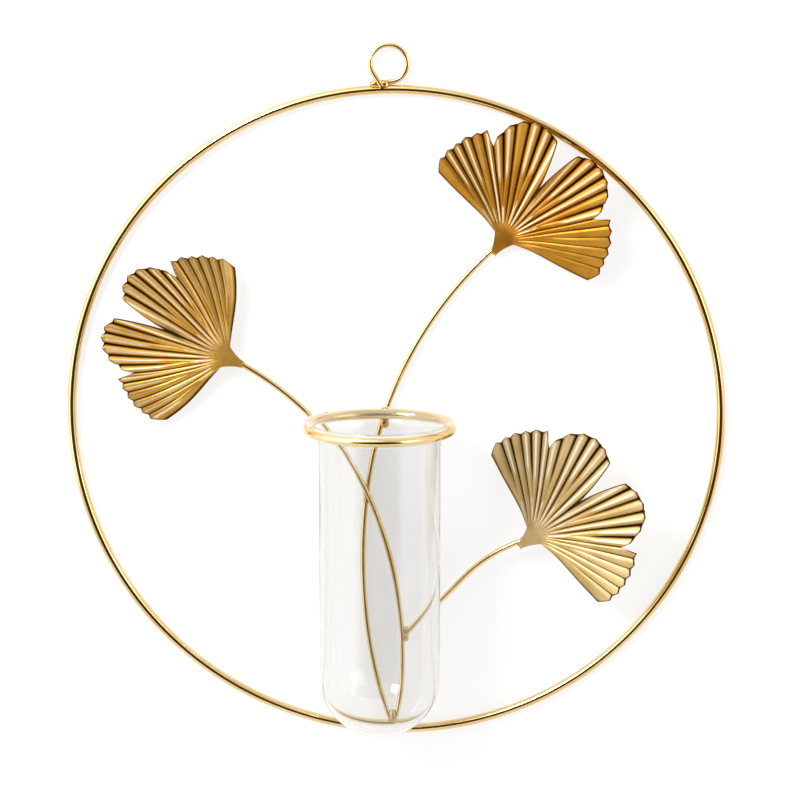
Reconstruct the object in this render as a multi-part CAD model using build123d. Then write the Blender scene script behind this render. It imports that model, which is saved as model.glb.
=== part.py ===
"""Hanging wall vase: a wire hoop with three pleated ginkgo leaves, and a glass tube in a holder ring.

The frame is in millimetres: +Z is up, +X is right, -Y faces the room and +Y the wall.
The origin is the centre of the hanging eye.
Angles in the hoop's plane are in degrees from +X, turning up towards +Z.
"""
from build123d import *
import os
from math import atan, cos, degrees, radians, sin, sqrt

# Hoop and hanging eye
hoop_diameter = 300.0  # outside
hoop_wire = 4.0
eye_inside = 14.2
eye_wire = 2.2
eye_offset = 2.2  # the eye stands left of the hoop's middle, above the centre of mass
eye_start = 262.0  # the end that sits on top of the hoop
eye_leave = 213.0  # where the other end leaves the round of the eye
eye_tail = 7.2  # straight end that laps over the front of the hoop
fit_gap = 0.1  # between pieces that a bead of weld joins

# Stems, all of one wire
stem_wire = 2.5
root_spacing = 2.8  # between the two stems that stand on the hoop
root_heading_left = 79.6
root_heading_top = 109.4
branch_height = 42.0  # where the third stem leaves the left one, above the hoop's inside
branch_heading = 46.7
branch_lean = 6.0  # of the third stem to the front, past that of the left one

# Glass tube and its holder ring
glass_diameter = 54.0
glass_wall = 1.2
glass_length = 145.0
flare_radius = 8.0
flare_angle = 75.0
ring_wire = 4.0
ring_clearance = 3.0  # between the straight glass and the inside of the ring
ring_rise = 1.0  # the ring's height above the hoop's centre
seat_gap = 0.3  # the flared lip over the ring

# Leaves: pressed sheet, folded into pleats that run from a flat collar to a toothed rim
sheet = 0.6
collar_radius = 6.0
collar_spread = 58.0
fan_flare = 3.0  # power by which the fan opens early, next to the collar
tab_length = 5.5
tab_width = 4.0
leaf_spread = 74.5  # half of the fan as it is pressed, at the rim
leaf_radius = 60.2
lobe_fall = 0.034  # drop of the inner lobe's rim for each square degree from its tip
side_radius = 54.4
side_fall = 0.0027
corner_radius = 42.2
notch_radius = 32.0
step_radius = 44.5
tooth_depth = 1.2
pleat_height = 2.2
fold_growth = 0.6  # power of the way out from the collar that the pleats deepen by
fan_curl = 4.0
corner_droop = 3.0
side_drop = 2.0  # the plain strip beside the last ridge turns down to the back
inner_lobe = (5.5, 33.5, 16.2)  # first ridge, last ridge and tip
outer_lobe = (38.5, 67.5, 14.8)
pleat_forks = (1, 2, 1, 2)  # rim ridges that each pleat of a lobe ends in
crease_steps = (0.0, 0.18, 0.42, 0.7, 1.0)  # stations from the collar to the rim
fork_step = 0.42

# Where each leaf sits: bearing of its neck about the hoop's centre, gap from its reach to the hoop
# and heading of the wire there
leaf_necks = {
    "left": (160.4, 8.1, 153.0),
    "top": (59.0, -6.8, 41.7),
    "right": (-41.3, 3.7, 19.5),
}
# How each leaf is bent by hand: heading, lean to the front, roll of its clockwise side to the front
# and half spread of the fan
leaf_bends = {
    "left": (155.2, -3.0, 2.0, 67.5),
    "top": (54.7, 14.0, 4.2, 76.5),
    "right": (38.4, 11.0, 18.5, 77.5),
}

# Beads of weld: length and width
hanger_bead = (9.5, 4.6)
hanger_bead_left = 4.0  # its middle, left of the eye's
hanger_bead_front = 0.6  # and in front of the hoop's plane
root_bead = (8.0, 4.6)
root_bead_rise = 2.4  # its middle, above the hoop's inside
root_bead_front = 0.3  # and in front of the hoop's plane
cross_bead = (9.0, 3.4)
cross_bead_drop = 1.5  # its middle, below the crossing
branch_bead = (8.0, 3.8)
holder_bead = (9.0, 4.8)
leaf_bead = (8.0, 4.4)

# Closeness of the points that are found by halving, and of corners that count as one
halvings = 40
same_point = 1e-6

# Sizes that follow from those above
eye_radius = (eye_inside + eye_wire) / 2
stem_radius = stem_wire / 2
hoop_inside = hoop_diameter / 2 - hoop_wire
hoop_centreline = (hoop_diameter - hoop_wire) / 2
eye_to_hoop = hoop_diameter / 2 + fit_gap + eye_wire / 2 + eye_radius
hoop_drop = sqrt(eye_to_hoop**2 - eye_offset**2)
hoop_centre = Vector(eye_offset, 0, -hoop_drop)
glass_radius = glass_diameter / 2
ring_centreline = glass_radius + ring_clearance + ring_wire / 2
ring_outside = ring_centreline + ring_wire / 2

# Planes seen from the room: x to the right, y up and z to the front
eye_plane = Plane(origin=(0, 0, 0), x_dir=(1, 0, 0), z_dir=(0, -1, 0))
root_point = hoop_centre - Vector(0, 0, hoop_inside)
root_plane = Plane(origin=root_point, x_dir=(1, 0, 0), z_dir=(0, -1, 0))


def heading(angle):
    """Unit vector at an angle in a plane seen from the room."""
    return Vector(cos(radians(angle)), sin(radians(angle)))


def biarc(start, start_angle, end, end_angle):
    """A wire bent in two tangent arcs, with the given headings at its ends."""
    leave, arrive = heading(start_angle), heading(end_angle)
    chord = end - start
    turn = 2 * (1 - leave.dot(arrive))
    run = chord.dot(leave + arrive)
    reach = (sqrt(run**2 + turn * chord.dot(chord)) - run) / turn
    joint = (start + end + (leave - arrive) * reach) * 0.5
    first = TangentArc(start, joint, tangent=leave)
    second = TangentArc(joint, end, tangent=first % 1)
    return Wire([first, second])


def at_height(path, height):
    """The point of a rising path at a height in its own plane, by halving."""
    low, high = 0.0, 1.0
    for _ in range(halvings):
        middle = (low + high) / 2
        if (path @ middle).Y < height:
            low = middle
        else:
            high = middle
    return path @ low


def round_wire(path, diameter):
    """Round wire along a path."""
    return sweep(Plane(path @ 0, z_dir=path % 0) * Circle(diameter / 2), path=path)


def bead(size):
    """A bead of weld along X, round at both ends."""
    length, width = size
    end, crown = length / 2, width / 2
    shoulder = end - crown
    edges = [
        CenterArc((-shoulder, 0), crown, 180, -90),
        Line((-shoulder, crown), (shoulder, crown)),
        CenterArc((shoulder, 0), crown, 90, -90),
        Line((end, 0), (-end, 0)),
    ]
    return revolve(make_face(edges), Axis.X)


def standing_height(angle):
    """Height of a wire's centre where its square-cut end stands on the hoop."""
    return stem_radius * abs(cos(radians(angle))) + fit_gap


def neck_point(place):
    """A leaf's neck, in the root plane."""
    bearing, rim_gap, _ = leaf_necks[place]
    return heading(bearing) * (hoop_inside - leaf_radius - rim_gap) + Vector(0, hoop_inside)


def wire_heading(place):
    """Heading of the wire where it ends behind a leaf."""
    return leaf_necks[place][2]


# Stem routes, in the root plane
def stem_routes():
    """The three stems' centrelines, flat in the root plane."""
    left_root = Vector(root_spacing / 2, standing_height(root_heading_left))
    top_root = Vector(-root_spacing / 2, standing_height(root_heading_top))
    left = biarc(left_root, root_heading_left, neck_point("left"), wire_heading("left"))
    top = biarc(top_root, root_heading_top, neck_point("top"), wire_heading("top"))
    fork = at_height(left, branch_height)
    leaning = radians(90 - branch_heading)
    setback = (stem_radius * (1 + cos(leaning)) + fit_gap) / sin(leaning)
    right_root = fork + heading(branch_heading) * setback
    right = biarc(right_root, branch_heading, neck_point("right"), wire_heading("right"))
    return {"left": left, "top": top, "right": right}


def crossing_height(left, top):
    """Height at which the left stem passes in front of the top one."""
    low, high = branch_height, hoop_inside + ring_rise
    for _ in range(halvings):
        middle = (low + high) / 2
        if at_height(left, middle).X > at_height(top, middle).X:
            low = middle
        else:
            high = middle
    return low


routes = stem_routes()
cross_height = crossing_height(routes["left"], routes["top"])
stem_lean = degrees(atan((stem_wire + fit_gap) / cross_height))
leaning_plane = root_plane * Rot(X=stem_lean)
branch_plane = leaning_plane * Pos(0, branch_height) * Rot(X=branch_lean) * Pos(0, -branch_height)
stem_planes = {"left": leaning_plane, "top": root_plane, "right": branch_plane}


# Hoop, eye and ring
def make_hoop():
    """The large hoop, one closed round of wire."""
    return Pos(hoop_centre) * Rot(X=90) * Torus(hoop_centreline, hoop_wire / 2)


def make_hanger_eye():
    """The hanging eye: one turn of wire whose end laps over the front of the hoop."""
    sitting = CenterArc((0, 0), eye_radius, eye_start, 360 + 90 - eye_start)
    rounding = CenterArc((0, 0), eye_radius, 90, eye_leave - 90)
    tail = Line(rounding @ 1, rounding @ 1 + (rounding % 1) * eye_tail)
    to_front = (hoop_wire + eye_wire) / 2 + fit_gap
    swing = degrees(atan(to_front / (eye_radius - (tail @ 1).Y)))
    hinge = Pos(0, eye_radius) * Rot(X=-swing) * Pos(0, -eye_radius)
    path = Wire([sitting, hinge * rounding, hinge * tail])
    return eye_plane * round_wire(path, eye_wire)


ring_back = at_height(routes["top"], hoop_inside + ring_rise)
ring_depth = stem_radius + fit_gap + ring_outside
ring_centre = root_plane.from_local_coords(ring_back + Vector(0, 0, ring_depth))


def make_holder_ring():
    """The level ring that the glass hangs in."""
    return Pos(ring_centre) * Torus(ring_centreline, ring_wire / 2)


# Glass
def make_glass_tube():
    """A round-bottomed tube with a flared, fire-polished lip, turned about the ring's axis."""
    across = flare_radius - ring_clearance - ring_wire / 2
    flare_z = seat_gap - sqrt((flare_radius - ring_wire / 2) ** 2 - across**2)
    flare_centre = Vector(glass_radius + flare_radius, flare_z)
    lip_top = flare_z + (flare_radius + glass_wall / 2) * sin(radians(flare_angle)) + glass_wall / 2
    round_z = lip_top - glass_length + glass_radius
    bore = glass_radius - glass_wall

    def flare_point(radius, angle):
        return flare_centre + Vector(-cos(radians(angle)), sin(radians(angle))) * radius

    def round_point(radius, angle):
        return Vector(radius * sin(radians(angle)), round_z - radius * cos(radians(angle)))

    def round_arc(radius, first, last):
        angles = (first, (first + last) / 2, last)
        return ThreePointArc(*[round_point(radius, angle) for angle in angles])

    def flare_arc(radius, first, last):
        angles = (first, (first + last) / 2, last)
        return ThreePointArc(*[flare_point(radius, angle) for angle in angles])

    outer, inner = flare_radius, flare_radius + glass_wall
    lip_out = Vector(sin(radians(flare_angle)), cos(radians(flare_angle))) * (glass_wall / 2)
    lip_crown = flare_point((outer + inner) / 2, flare_angle) + lip_out
    edges = [
        round_arc(glass_radius, 0, 90),
        Line((glass_radius, round_z), (glass_radius, flare_z)),
        flare_arc(outer, 0, flare_angle),
        ThreePointArc(flare_point(outer, flare_angle), lip_crown, flare_point(inner, flare_angle)),
        flare_arc(inner, flare_angle, 0),
        Line((bore, flare_z), (bore, round_z)),
        round_arc(bore, 90, 0),
        Line(round_point(bore, 0), round_point(glass_radius, 0)),
    ]
    profile = Plane.XZ * make_face(edges)
    return Pos(ring_centre) * revolve(profile, Axis.Z)


# Leaves
class Crease:
    """One fold line of a leaf, from the collar to the rim."""

    def __init__(self, ridge, collar_angle, rim_angle, reach, fork=None):
        self.ridge = ridge
        self.collar_angle = collar_angle
        self.rim_angle = rim_angle
        self.reach = reach
        self.fork = fork  # rim angle and reach of the pleat that the fold line forks from

    def mirrored(self):
        """The same fold line on the other half of the leaf."""
        fork = self.fork and (-self.fork[0], self.fork[1])
        return Crease(self.ridge, -self.collar_angle, -self.rim_angle, self.reach, fork)

    def point(self, step, bend):
        """Mid-sheet point of the fold line, in the leaf's own frame."""
        lean, roll, spread = bend
        past_fork = max(0.0, (step - fork_step) / (1 - fork_step))
        fork_angle, fork_reach = self.fork or (self.rim_angle, self.reach)
        opening = 1 - (1 - step) ** fan_flare
        angle = self.collar_angle + (fork_angle - self.collar_angle) * opening
        angle += (self.rim_angle - fork_angle) * past_fork
        radius = collar_radius + (fork_reach - collar_radius) * step
        radius += (self.reach - fork_reach) * past_fork
        fold = pleat_height / 2 * step**fold_growth
        if not self.ridge:
            fold *= 1 - 2 * past_fork if self.fork else -1
        lift = fan_curl * step**2 - corner_droop * (angle / leaf_spread) ** 2 * step**2
        if abs(self.rim_angle) == leaf_spread:
            lift -= side_drop * step
        opened = angle * (1 + (spread / leaf_spread - 1) * step)
        at_collar = heading(90 - self.collar_angle) * collar_radius
        fan = heading(90 - opened) * radius + Vector(0, 0, lift + fold) - at_collar
        return at_collar + fan.rotate(Axis.X, lean).rotate(Axis.Y, -roll)


def half_leaf_creases():
    """Fold lines from the notch in the middle of the leaf out to one side."""
    creases = [Crease(False, 0.0, 0.0, notch_radius)]
    lobes = ((inner_lobe, leaf_radius, lobe_fall), (outer_lobe, side_radius, side_fall))
    pleats = len(lobes) * len(pleat_forks)
    pleat = 0
    for (first, last, tip), tip_radius, fall in lobes:
        ridges = sum(pleat_forks)
        pitch = (last - first) / (ridges - 1)
        angle = first
        for forks in pleat_forks:
            collar_angle = collar_spread * (pleat + 0.5) / pleats
            middle = angle + pitch * (forks - 1) / 2
            middle_reach = tip_radius - fall * (middle - tip) ** 2 - tooth_depth
            fork = (middle, middle_reach) if forks > 1 else None
            for ridge in range(forks):
                rim = tip_radius - fall * (angle - tip) ** 2
                creases.append(Crease(True, collar_angle, angle, rim, fork))
                if ridge < forks - 1:
                    creases.append(Crease(False, collar_angle, middle, middle_reach, fork))
                angle += pitch
            pleat += 1
            valley = angle - pitch / 2
            rim = tip_radius - fall * (valley - tip) ** 2 - tooth_depth
            creases.append(Crease(False, collar_spread * pleat / pleats, valley, rim))
        creases[-1].reach = step_radius
    creases[-1].reach = corner_radius
    creases[-1].rim_angle = leaf_spread
    return creases


def sheet_faces(corners):
    """Flat faces over a patch of corners that may have run together into a triangle or a line."""
    faces = []
    for corner in (1, 2):
        triangle = [corners[0], corners[corner], corners[corner + 1]]
        sides = [triangle[i] - triangle[i - 1] for i in range(3)]
        if min(side.length for side in sides) > same_point:
            faces.append(Face(Wire.make_polygon(triangle)))
    return faces


def make_leaf(bend):
    """One pressed leaf: neck at the origin, fan along +Y and its front to +Z."""
    right_half = half_leaf_creases()
    left_half = [crease.mirrored() for crease in reversed(right_half[1:])]
    creases = left_half + right_half
    half = Vector(0, 0, sheet / 2)
    rows = [[crease.point(step, bend) for step in crease_steps] for crease in creases]
    steps = range(len(crease_steps) - 1)
    faces = []
    for row, following in zip(rows, rows[1:]):
        for side in (half, half * -1):
            for step in steps:
                patch = (row[step], row[step + 1], following[step + 1], following[step])
                faces += sheet_faces([corner + side for corner in patch])
        rim = (row[-1] + half, following[-1] + half, following[-1] - half, row[-1] - half)
        faces.append(Face(Wire.make_polygon(rim)))
    for row in (rows[0], rows[-1]):
        for step in steps:
            edge = (row[step] + half, row[step + 1] + half, row[step + 1] - half, row[step] - half)
            faces.append(Face(Wire.make_polygon(edge)))
    collar = [rows[0][0]]
    for row in rows:
        if (row[0] - collar[-1]).length > same_point:
            collar.append(row[0])
    tab = [Vector(tab_width / 2, -tab_length), Vector(-tab_width / 2, -tab_length)]
    outline = collar + tab
    for side in (half, half * -1):
        faces.append(Face(Wire.make_polygon([corner + side for corner in outline])))
    neck = [collar[-1]] + tab + [collar[0]]
    for corner, following in zip(neck, neck[1:]):
        edge = (corner + half, following + half, following - half, corner - half)
        faces.append(Face(Wire.make_polygon(edge)))
    return Solid(Shell(faces))


# Assembly
parts = {
    "hoop": make_hoop(),
    "hanger_eye": make_hanger_eye(),
    "holder_ring": make_holder_ring(),
    "glass_tube": make_glass_tube(),
}
leaf_front = stem_radius + fit_gap + sheet / 2
behind_leaf = Plane.XY.offset(stem_radius + fit_gap)
for place, (leaf_heading, *bend) in leaf_bends.items():
    plane = stem_planes[place]
    neck = neck_point(place)
    stem = plane * round_wire(routes[place], stem_wire)
    leaf = Pos(neck + Vector(0, 0, leaf_front)) * Rot(Z=leaf_heading - 90) * make_leaf(bend)
    weld = Pos(neck + Vector(0, 0, stem_radius / 2)) * Rot(Z=wire_heading(place)) * bead(leaf_bead)
    parts["stem_" + place] = stem
    parts["leaf_" + place] = plane * leaf
    parts["leaf_" + place + "_weld"] = plane * split(weld, bisect_by=behind_leaf, keep=Keep.BOTTOM) - stem

between_wires = stem_radius + fit_gap / 2
hanger_foot = Vector(-hanger_bead_left, -eye_radius - eye_wire / 2, hanger_bead_front)
hanger_weld = eye_plane * Pos(hanger_foot) * bead(hanger_bead)
parts["hanger_weld"] = hanger_weld - parts["hoop"] - parts["hanger_eye"]
root_weld = root_plane * Pos(0, root_bead_rise, root_bead_front) * Rot(Z=90) * bead(root_bead)
parts["root_weld"] = root_weld - parts["hoop"] - parts["stem_left"] - parts["stem_top"]
crossing = at_height(routes["top"], cross_height - cross_bead_drop)
cross_weld = root_plane * Pos(crossing + Vector(0, 0, between_wires)) * Rot(Z=90) * bead(cross_bead)
parts["cross_weld"] = cross_weld - parts["stem_left"] - parts["stem_top"]
fork = at_height(routes["left"], branch_height) + heading(branch_heading) * stem_wire
branch_weld = leaning_plane * Pos(fork) * Rot(Z=90) * bead(branch_bead)
parts["branch_weld"] = branch_weld - parts["stem_left"] - parts["stem_right"]
holder_foot = ring_back + Vector(0, ring_wire / 2 - holder_bead[0] / 2, between_wires)
holder_weld = root_plane * Pos(holder_foot) * Rot(Z=90) * bead(holder_bead)
parts["holder_weld"] = holder_weld - parts["holder_ring"] - parts["stem_top"]

os.makedirs("parts", exist_ok=True)
for name, piece in parts.items():
    solids = piece.solids()
    print(name, "solids", len(solids), "volume", round(sum(s.volume for s in solids), 1))
    export_step(Compound(solids) if len(solids) > 1 else solids[0], "parts/" + name + ".step")
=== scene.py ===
# %% [markdown]
# # A hanging wall vase
# The real object is a gold wire hoop with three pleated ginkgo leaves on wire stems. A glass tube hangs by
# its lip in a small wire ring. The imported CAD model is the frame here: it says where everything is, and each
# piece below is a finer version of one CAD node, made in the same place and in metres.

# %% Load the frame
from math import acos, atan2, cos, pi, radians, sin, sqrt
from types import SimpleNamespace

import bmesh
import bpy
from mathutils import Matrix, Vector


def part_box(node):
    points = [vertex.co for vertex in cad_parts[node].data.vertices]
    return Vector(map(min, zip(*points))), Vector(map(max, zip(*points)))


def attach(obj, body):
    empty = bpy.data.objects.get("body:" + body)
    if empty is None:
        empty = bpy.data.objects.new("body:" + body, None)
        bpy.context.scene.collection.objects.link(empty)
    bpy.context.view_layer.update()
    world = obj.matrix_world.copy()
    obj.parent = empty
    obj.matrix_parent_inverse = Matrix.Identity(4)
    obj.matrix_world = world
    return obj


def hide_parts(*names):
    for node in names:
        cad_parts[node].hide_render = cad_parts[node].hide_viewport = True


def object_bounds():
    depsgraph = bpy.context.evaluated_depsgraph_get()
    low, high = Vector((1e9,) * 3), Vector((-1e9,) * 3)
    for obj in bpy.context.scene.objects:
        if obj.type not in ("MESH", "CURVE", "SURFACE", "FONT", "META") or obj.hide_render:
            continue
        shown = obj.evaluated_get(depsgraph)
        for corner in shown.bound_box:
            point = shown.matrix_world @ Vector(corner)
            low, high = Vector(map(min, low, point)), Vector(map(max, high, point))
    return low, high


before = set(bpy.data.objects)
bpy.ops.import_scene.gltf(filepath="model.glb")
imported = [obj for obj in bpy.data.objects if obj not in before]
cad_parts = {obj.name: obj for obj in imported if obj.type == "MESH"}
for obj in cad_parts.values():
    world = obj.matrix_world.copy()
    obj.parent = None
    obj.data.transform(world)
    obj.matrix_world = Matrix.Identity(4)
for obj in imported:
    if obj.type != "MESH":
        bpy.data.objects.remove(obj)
cad_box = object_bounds()
mm = 0.001
print("CAD nodes:", len(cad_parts), "box:", cad_box)

# %% [markdown]
# ## Camera
# The photograph looks at the hoop from a little above and a little to the right. A long lens keeps the hoop
# almost a circle. The aim point lies slightly off the hoop's middle, as in the photograph's framing, so no
# lens shift is needed.

# %% Camera
hoop_low, hoop_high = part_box("hoop")
hoop_centre = (hoop_low + hoop_high) / 2
view_azimuth = radians(3.5)
view_elevation = radians(10.5)
view_distance = 1.2
aim_right = 2.7 * mm
aim_up = 7.2 * mm
# Blender counts the sensor and the lens in millimetres
sensor_width = 36
lens_length = 118.6

view_back = Vector((
    sin(view_azimuth) * cos(view_elevation),
    -cos(view_azimuth) * cos(view_elevation),
    sin(view_elevation),
))
view_right = Vector((cos(view_azimuth), sin(view_azimuth), 0))
view_up = view_back.cross(view_right)
camera_data = bpy.data.cameras.new("photo_camera")
camera_data.sensor_width = sensor_width
camera_data.lens = lens_length
camera = bpy.data.objects.new("photo_camera", camera_data)
camera.location = hoop_centre + view_back * view_distance + view_right * aim_right + view_up * aim_up
camera.rotation_mode = "QUATERNION"
camera.rotation_quaternion = (-view_back).to_track_quat("-Z", "Y")
bpy.context.scene.collection.objects.link(camera)
bpy.context.scene.camera = camera
bpy.context.scene.view_settings.view_transform = "Standard"
print("camera at", camera.location)

# %% [markdown]
# ## Building with nodes
# Materials and shapes are both made of nodes here. Nodes can be placed and wired by hand in an editor, but a
# script that adds them can be read, changed and run again. Two helpers do the work: one fills a node's
# sockets, by links or by plain values, and the other adds a node and fills it. The rest each add one node and
# give back its result.

# %% Node helpers
def fill(tree, node, inputs):
    """Fill sockets of a node, by name or number. A field, as the leaf uses, holds a socket to link to."""
    for name, value in inputs.items():
        value = getattr(value, "socket", value)
        if isinstance(value, bpy.types.NodeSocket):
            tree.links.new(value, node.inputs[name])
        else:
            node.inputs[name].default_value = value


def add_node(tree, kind, inputs=None, **settings):
    """A node with some of its properties set and some of its sockets filled."""
    node = tree.nodes.new(kind)
    for name, value in settings.items():
        setattr(node, name, value)
    fill(tree, node, inputs or {})
    return node


def combine(tree, operation, first, second):
    """A Math node of two values."""
    return add_node(tree, "ShaderNodeMath", {0: first, 1: second}, operation=operation).outputs[0]


def mix(tree, kind, share, first, second):
    """A number (FLOAT) or a colour (RGBA) between two others."""
    inputs = {"Factor": share, "A": first, "B": second}
    return add_node(tree, "ShaderNodeMix", inputs, data_type=kind).outputs["Result"]


print("node helpers: fill, add_node, combine, mix")

# %% Pattern helpers
unit = (0.0, 1.0)


def noise(tree, place, scale, detail):
    """A noise pattern over a piece, from 0 to 1."""
    inputs = {"Vector": place, "Scale": scale, "Detail": detail}
    return add_node(tree, "ShaderNodeTexNoise", inputs).outputs["Fac"]


def remap(tree, value, old_range, new_range):
    """A value brought from one range to another, and held there."""
    names = ("Value", "From Min", "From Max", "To Min", "To Max")
    inputs = dict(zip(names, (value, *old_range, *new_range)))
    return add_node(tree, "ShaderNodeMapRange", inputs).outputs["Result"]


def facing(tree, direction, toward):
    """How far a direction agrees with another one, from -1 to 1."""
    inputs = {0: direction, 1: toward}
    return add_node(tree, "ShaderNodeVectorMath", inputs, operation="DOT_PRODUCT").outputs["Value"]


print("pattern helpers: noise, remap, facing")

# %% [markdown]
# ## Gold plating
# All the metal is gold plated. Plating is never one flat colour: it drifts between a paler and a deeper tone,
# and its shine drifts too. A painted image could show that, but a pattern worked out over the piece has no
# seams. Wire, leaves and welds share the effect, so it is one shader node group with named inputs, and each
# material gives it its own colours and sizes. The shader itself stays in the material.

# %% Plating group
patch_range = (0.35, 0.65)
patch_detail = 2.0
grain_range = (0.3, 0.7)
grain_detail = 3.0
plating_inputs = {
    "Pale": "Color",
    "Deep": "Color",
    "Patches per Metre": "Float",
    "Grains per Metre": "Float",
    "Roughness Low": "Float",
    "Roughness High": "Float",
}
plating_outputs = {"Tone": "Color", "Shine": "Float", "Ripple": "Float"}


def add_sockets(tree, way, sockets):
    """Named INPUT or OUTPUT sockets of a node group."""
    for name, kind in sockets.items():
        tree.interface.new_socket(name, in_out=way, socket_type="NodeSocket" + kind)


def make_plating():
    """Drifting tone and shine of gold plating, and the fine ripple of its surface."""
    group = bpy.data.node_groups.new("gold_plating", "ShaderNodeTree")
    add_sockets(group, "INPUT", plating_inputs)
    add_sockets(group, "OUTPUT", plating_outputs)
    given = add_node(group, "NodeGroupInput").outputs
    place = add_node(group, "ShaderNodeTexCoord").outputs["Object"]
    patches = noise(group, place, given["Patches per Metre"], patch_detail)
    grains = noise(group, place, given["Grains per Metre"], grain_detail)
    share = remap(group, patches, patch_range, unit)
    shine = remap(group, grains, grain_range, (given["Roughness Low"], given["Roughness High"]))
    tone = mix(group, "RGBA", share, given["Pale"], given["Deep"])
    add_node(group, "NodeGroupOutput", {"Tone": tone, "Shine": shine, "Ripple": grains})
    return group


plating = make_plating()
print("group", plating.name, "gives", list(plating_outputs))

# %% [markdown]
# ## Wire and weld gold
# Each metal is a Principled shader that takes its colour, shine and ripple from the plating group. The wire
# was drawn through a die, so it is the smoothest. The welds froze from a melt and are duller and lumpier.

# %% Wire and weld gold
plain_relief = 0.4
wire_ripple = 0.02 * mm
weld_ripple = 0.1 * mm
wire_plate = {
    "Pale": (0.90, 0.71, 0.39, 1),
    "Deep": (0.78, 0.55, 0.22, 1),
    "Patches per Metre": 25,
    "Grains per Metre": 1500,
    "Roughness Low": 0.08,
    "Roughness High": 0.14,
}
weld_plate = {
    "Pale": (0.82, 0.56, 0.21, 1),
    "Deep": (0.58, 0.33, 0.09, 1),
    "Patches per Metre": 180,
    "Grains per Metre": 1400,
    "Roughness Low": 0.18,
    "Roughness High": 0.32,
}


def new_material(name):
    """A material, its node tree and its Principled shader."""
    material = bpy.data.materials.new(name)
    material.use_nodes = True
    return material, material.node_tree, material.node_tree.nodes["Principled BSDF"]


def add_bump(tree, shader, height, strength, depth):
    """A fine relief that only bends the light."""
    bump = add_node(tree, "ShaderNodeBump", {"Strength": strength, "Distance": depth, "Height": height})
    fill(tree, shader, {"Normal": bump.outputs["Normal"]})


def add_plating(tree, shader, plate, strength, depth):
    """The plating group with a material's own values, for the shine and the relief. Gives back its tone."""
    node = add_node(tree, "ShaderNodeGroup", plate, node_tree=plating)
    fill(tree, shader, {"Roughness": node.outputs["Shine"]})
    add_bump(tree, shader, node.outputs["Ripple"], strength, depth)
    return node.outputs["Tone"]


def make_gold(name, plate, ripple):
    """Plain gold plated metal."""
    material, tree, shader = new_material(name)
    tone = add_plating(tree, shader, plate, plain_relief, ripple)
    fill(tree, shader, {"Metallic": 1.0, "Base Color": tone})
    return material


wire_gold = make_gold("wire_gold", wire_plate, wire_ripple)
weld_gold = make_gold("weld_gold", weld_plate, weld_ripple)
print("metals:", wire_gold.name, weld_gold.name)

# %% [markdown]
# ## Leaf gold
# On the side that faces the room, a painted highlight runs as a thin pale line along the tops of a leaf's
# pleats, and painted shade lies dark brown in the folds between them. An image could be painted with those
# lines, but an attribute follows every pleat exactly: rib is near 1 on the top of a pleat and 0 in the fold
# beside it. Each leaf has a material of its own from one recipe, as lit and shaded copies of one plating:
# the right leaf is painted paler, as if lit, and the top leaf deeper, as if in shade.

# %% Leaf gold
leaf_metal = 0.8
leaf_relief = 0.12
leaf_ripple = 0.1 * mm
leaf_tint = (0.85, 0.6, 0.25, 1)
# painted shade: dark brown laid into the pleat folds, where shade falls
fold_shade = (0.05, 0.018, 0.003, 1)
to_room = (0, -1, 0)
room_range = (-0.1, 0.1)
# rib values where painted shade fills the folds, and where a painted highlight lies on the rib tops
shade_range = (0.45, 0.75)
highlight_range = (0.94, 0.985)
leaf_plate = {
    "Patches per Metre": 60,
    "Grains per Metre": 700,
    "Roughness Low": 0.34,
    "Roughness High": 0.44,
}
# paler and deeper plating and painted rib-top highlight of each leaf; the leaves are lit and shaded copies,
# the right one painted paler and the top one deeper
lit_leaf_tones = {
    "left": ((0.73, 0.43, 0.10, 1), (0.57, 0.29, 0.045, 1), (1.0, 0.86, 0.58, 1)),
    "top": ((0.63, 0.31, 0.045, 1), (0.48, 0.21, 0.02, 1), (1.0, 0.85, 0.55, 1)),
    "right": ((0.75, 0.55, 0.27, 1), (0.61, 0.42, 0.16, 1), (1.0, 0.92, 0.72, 1)),
}


def make_leaf_gold(name, pale, deep, painted_highlight):
    """Gold of a leaf: a painted highlight along the rib tops and painted shade in the folds between them."""
    material, tree, shader = new_material(name)
    plate = {"Pale": pale, "Deep": deep, **leaf_plate}
    tone = add_plating(tree, shader, plate, leaf_relief, leaf_ripple)
    rib = add_node(tree, "ShaderNodeAttribute", attribute_name="rib").outputs["Fac"]
    normal = add_node(tree, "ShaderNodeNewGeometry").outputs["Normal"]
    front = remap(tree, facing(tree, normal, to_room), room_range, unit)
    # painted shade in the folds and a painted highlight on the rib tops, only on the side that faces the room
    shade_share = remap(tree, rib, shade_range, (front, 0.0))
    highlight_share = remap(tree, rib, highlight_range, (0.0, front))
    shaded = mix(tree, "RGBA", shade_share, tone, fold_shade)
    colour = mix(tree, "RGBA", highlight_share, shaded, painted_highlight)
    fill(tree, shader, {"Metallic": leaf_metal, "Specular Tint": leaf_tint, "Base Color": colour})
    return material


leaf_golds = {place: make_leaf_gold("leaf_gold_" + place, *tones) for place, tones in lit_leaf_tones.items()}
print("leaf metals:", [gold.name for gold in leaf_golds.values()])

# %% [markdown]
# ## Glass material
# Thin clear glass is a Principled shader with full Transmission. A slight ripple in its surface, as blown
# glass has, bends the reflections a little, so they do not look drawn with a ruler. The flared lip is very
# thin. Light that enters it from below would be trapped and turn it into a black line, so an attribute
# called rim clears the far side of its wall, the one a ray meets from within (Backfacing). A coat makes
# the reflections on the lip brighter.

# %% Glass material
glass_tint = (0.935, 0.935, 0.93, 1)
glass_ior = 1.47
lip_coat_ior = 2.2
ripples_per_metre = 45.0
ripple_detail = 1.0
ripple_relief = 0.15
ripple_depth = 0.4 * mm
smears_per_metre = 220.0
smear_detail = 3.0
smear_range = (0.45, 0.75)
smear_roughness = (0.0, 0.03)
rim_clear_range = (0.0, 0.35)


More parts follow.
